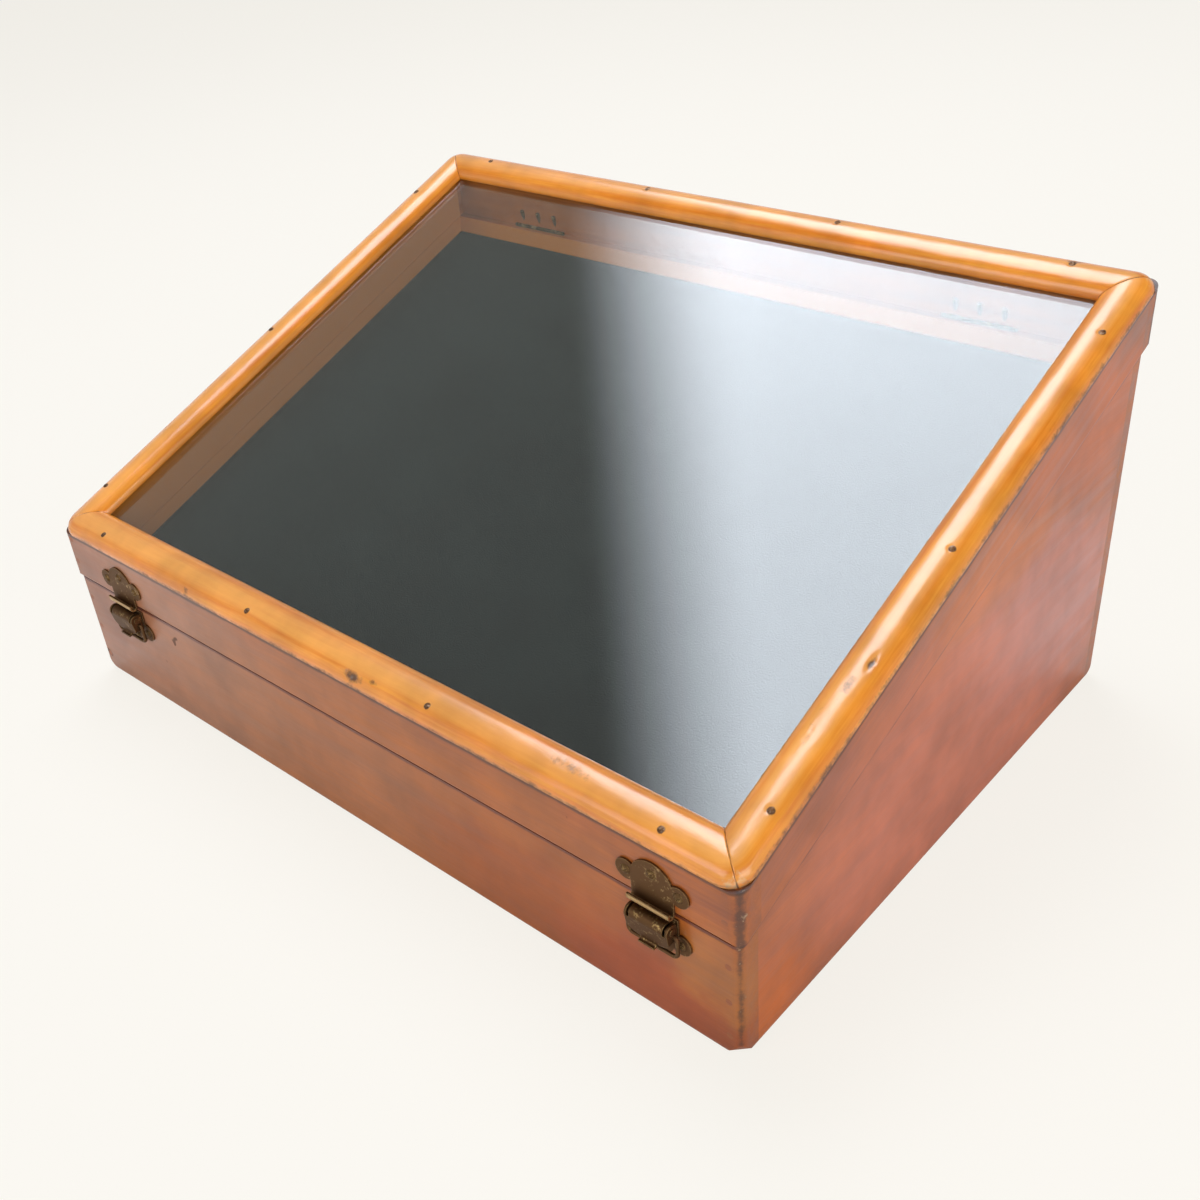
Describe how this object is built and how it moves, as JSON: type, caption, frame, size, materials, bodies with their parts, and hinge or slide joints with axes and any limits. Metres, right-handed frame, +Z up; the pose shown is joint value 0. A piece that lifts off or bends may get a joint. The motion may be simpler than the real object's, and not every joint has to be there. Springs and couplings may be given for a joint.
{
  "type": "display case",
  "caption": "Slant-front wooden display case with a hinged glazed lid, mitred half-round moulding, lined display board and draw catches on the front.",
  "frame": {"origin": "middle of the face that the case stands on, under the middle of the base", "axes": "+X across the front to the viewer's right, +Y from the low front to the high back, +Z up"},
  "size_m": [0.463, 0.3349, 0.2234],
  "materials": {
    "case_wood": "semi-gloss shellac over stained hardwood, worn at the edges",
    "moulding_wood": "semi-gloss amber varnish over paler wood",
    "panel_wood": "bare thin plywood",
    "batten_wood": "bare sawn softwood",
    "lining_cloth": "short matt pile, charcoal",
    "nail_steel": "darkened",
    "catch_brass": "pressed sheet, dark tarnish",
    "wire_brass": "drawn wire, rubbed bright",
    "screw_brass": "dull",
    "hinge_brass": "dull",
    "pin_steel": "dull",
    "pane_glass": "clear, polished"
  },
  "bodies": {
    "base": {"base_front": "case_wood", "base_back": "case_wood", "base_left": "case_wood", "base_right": "case_wood", "base_bottom": "panel_wood", "batten_front": "batten_wood", "batten_back": "batten_wood", "batten_left": "batten_wood", "batten_right": "batten_wood", "display_board": "panel_wood", "display_lining": "lining_cloth", "base_corner_nails": "nail_steel", "bottom_nails": "nail_steel", "left_catch_plate": "catch_brass", "right_catch_plate": "catch_brass", "left_catch_pin": "wire_brass", "right_catch_pin": "wire_brass", "catch_screws": "screw_brass", "left_hinge_base_leaf": "hinge_brass", "right_hinge_base_leaf": "hinge_brass", "left_hinge_pin": "pin_steel", "right_hinge_pin": "pin_steel", "hinge_base_screws": "screw_brass"},
    "lid": {"lid_front_rail": "case_wood", "lid_back_rail": "case_wood", "lid_left_rail": "case_wood", "lid_right_rail": "case_wood", "lid_corner_nails": "nail_steel", "glass_pane": "pane_glass", "moulding_front": "moulding_wood", "moulding_back": "moulding_wood", "moulding_left": "moulding_wood", "moulding_right": "moulding_wood", "moulding_pins": "nail_steel", "left_keeper": "catch_brass", "right_keeper": "catch_brass", "keeper_screws": "screw_brass", "left_hinge_lid_leaf": "hinge_brass", "right_hinge_lid_leaf": "hinge_brass", "hinge_lid_screws": "screw_brass"},
    "left_lever": {"left_catch_lever": "catch_brass"},
    "left_bail": {"left_catch_bail": "wire_brass"},
    "right_lever": {"right_catch_lever": "catch_brass"},
    "right_bail": {"right_catch_bail": "wire_brass"}
  },
  "joints": [
    {"name": "lid_hinge", "type": "hinge", "parent": "base", "child": "lid", "pos_m": [0, 0.1614, 0.18831], "axis": [-1, 0, 0], "range_deg": [0, 120]},
    {"name": "left_lever_pivot", "type": "hinge", "parent": "base", "child": "left_lever", "pos_m": [-0.179, -0.1656, 0.0595], "axis": [-1, 0, 0], "range_deg": [0, 90]},
    {"name": "left_bail_pivot", "type": "hinge", "parent": "left_lever", "child": "left_bail", "pos_m": [-0.179, -0.1646, 0.0563], "axis": [-1, 0, 0], "range_deg": [0, 125]},
    {"name": "right_lever_pivot", "type": "hinge", "parent": "base", "child": "right_lever", "pos_m": [0.19, -0.1656, 0.0595], "axis": [-1, 0, 0], "range_deg": [0, 90]},
    {"name": "right_bail_pivot", "type": "hinge", "parent": "right_lever", "child": "right_bail", "pos_m": [0.19, -0.1646, 0.0563], "axis": [-1, 0, 0], "range_deg": [0, 125]}
  ]
}
